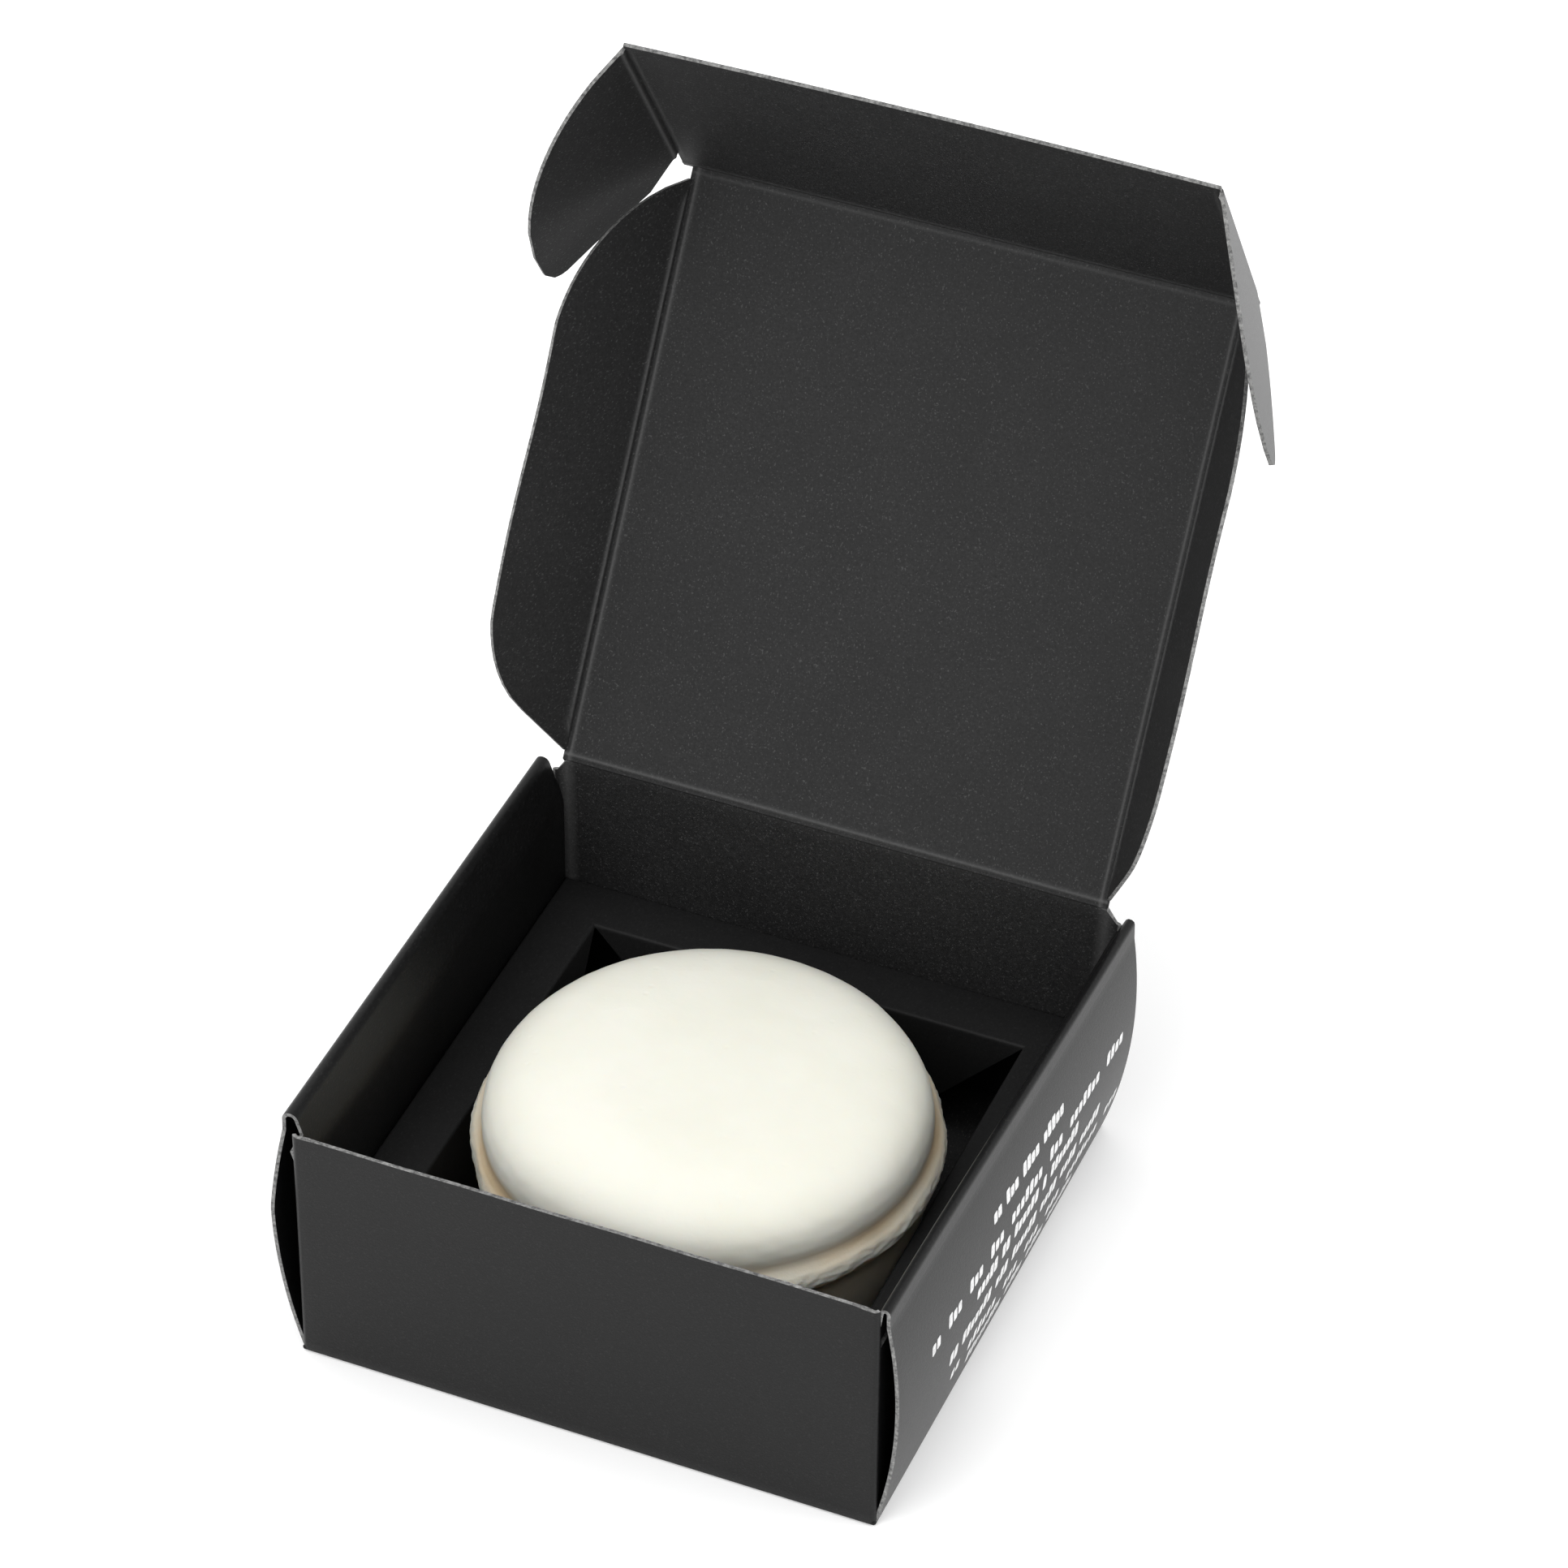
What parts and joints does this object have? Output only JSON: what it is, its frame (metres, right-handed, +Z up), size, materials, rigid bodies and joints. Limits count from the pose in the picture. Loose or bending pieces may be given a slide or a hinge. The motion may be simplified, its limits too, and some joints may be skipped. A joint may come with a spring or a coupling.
{
  "type": "boxed soap puck",
  "caption": "Cast round soap puck with a flash rim, standing in the square window of a card insert inside a small folding carton with an open tuck-front lid.",
  "frame": {"origin": "centre of the underside of the carton's base", "axes": "+X to the right along the front wall, +Y from the front wall to the rear wall, +Z up out of the carton"},
  "size_m": [0.1005, 0.1233, 0.1342],
  "materials": {
    "carton_card": "matte",
    "insert_card": "matte",
    "soap": "matte"
  },
  "bodies": {
    "tray": {"base_panel": "carton_card", "front_wall": "carton_card", "rear_wall": "carton_card", "corner_flap_front_left": "carton_card", "corner_flap_rear_left": "carton_card", "corner_flap_front_right": "carton_card", "corner_flap_rear_right": "carton_card", "outer_panel_left": "carton_card", "roll_over_left": "carton_card", "inner_panel_left": "carton_card", "outer_panel_right": "carton_card", "roll_over_right": "carton_card", "inner_panel_right": "carton_card"},
    "lid": {"lid_panel": "carton_card"},
    "side_flap_left": {"lid_side_flap_left": "carton_card"},
    "side_flap_right": {"lid_side_flap_right": "carton_card"},
    "tuck": {"tuck_flap": "carton_card"},
    "ear_flap_left": {"ear_left": "carton_card"},
    "ear_flap_right": {"ear_right": "carton_card"},
    "insert": {"insert_deck": "insert_card", "insert_skirt_front": "insert_card", "insert_skirt_rear": "insert_card", "insert_skirt_left": "insert_card", "insert_skirt_right": "insert_card"},
    "puck": {"soap_puck": "soap"},
    "window_flap_front": {"window_flap_front": "insert_card"},
    "window_flap_rear": {"window_flap_rear": "insert_card"},
    "window_flap_left": {"window_flap_left": "insert_card"},
    "window_flap_right": {"window_flap_right": "insert_card"}
  },
  "joints": [
    {"name": "lid_hinge", "type": "hinge", "parent": "tray", "child": "lid", "pos_m": [0, 0.03975, 0.03725], "axis": [-1, 0, 0], "range_deg": [-123, 20]},
    {"name": "side_flap_left_hinge", "type": "hinge", "parent": "lid", "child": "side_flap_left", "pos_m": [-0.03825, 0.03975, 0.03725], "axis": [0, -0.5446, -0.8387], "range_deg": [-50.5, 9]},
    {"name": "side_flap_right_hinge", "type": "hinge", "parent": "lid", "child": "side_flap_right", "pos_m": [0.03825, 0.03975, 0.03725], "axis": [0, 0.5446, 0.8387], "range_deg": [-46, 9]},
    {"name": "tuck_hinge", "type": "hinge", "parent": "lid", "child": "tuck", "pos_m": [0, 0.08338, 0.10443], "axis": [-1, 0, 0], "range_deg": [-24.5, 65.5]},
    {"name": "ear_left_hinge", "type": "hinge", "parent": "tuck", "child": "ear_flap_left", "pos_m": [-0.03975, 0.08338, 0.10443], "axis": [0, -0.5373, 0.8434], "range_deg": [-62, 7]},
    {"name": "ear_right_hinge", "type": "hinge", "parent": "tuck", "child": "ear_flap_right", "pos_m": [0.03975, 0.08338, 0.10443], "axis": [0, 0.5373, -0.8434], "range_deg": [-67, 4]},
    {"name": "insert_lift", "type": "slide", "parent": "tray", "child": "insert", "axis": [0, 0, 1], "range_m": [0, 0.06]},
    {"name": "puck_lift", "type": "slide", "parent": "insert", "child": "puck", "axis": [0, 0, 1], "range_m": [0, 0.05]},
    {"name": "window_flap_front_hinge", "type": "hinge", "parent": "insert", "child": "window_flap_front", "pos_m": [0, -0.0322, 0.0167], "axis": [-1, 0, 0], "range_deg": [0, 16]},
    {"name": "window_flap_rear_hinge", "type": "hinge", "parent": "insert", "child": "window_flap_rear", "pos_m": [0, 0.0322, 0.0167], "axis": [1, 0, 0], "range_deg": [0, 16]},
    {"name": "window_flap_left_hinge", "type": "hinge", "parent": "insert", "child": "window_flap_left", "pos_m": [-0.031, 0, 0.0167], "axis": [0, 1, 0], "range_deg": [0, 16]},
    {"name": "window_flap_right_hinge", "type": "hinge", "parent": "insert", "child": "window_flap_right", "pos_m": [0.031, 0, 0.0167], "axis": [0, -1, 0], "range_deg": [0, 16]}
  ],
  "couplings": [
    {"joint": "side_flap_left_hinge", "follows": "lid_hinge", "ratio": 0.4065},
    {"joint": "side_flap_right_hinge", "follows": "lid_hinge", "ratio": 0.3699}
  ]
}
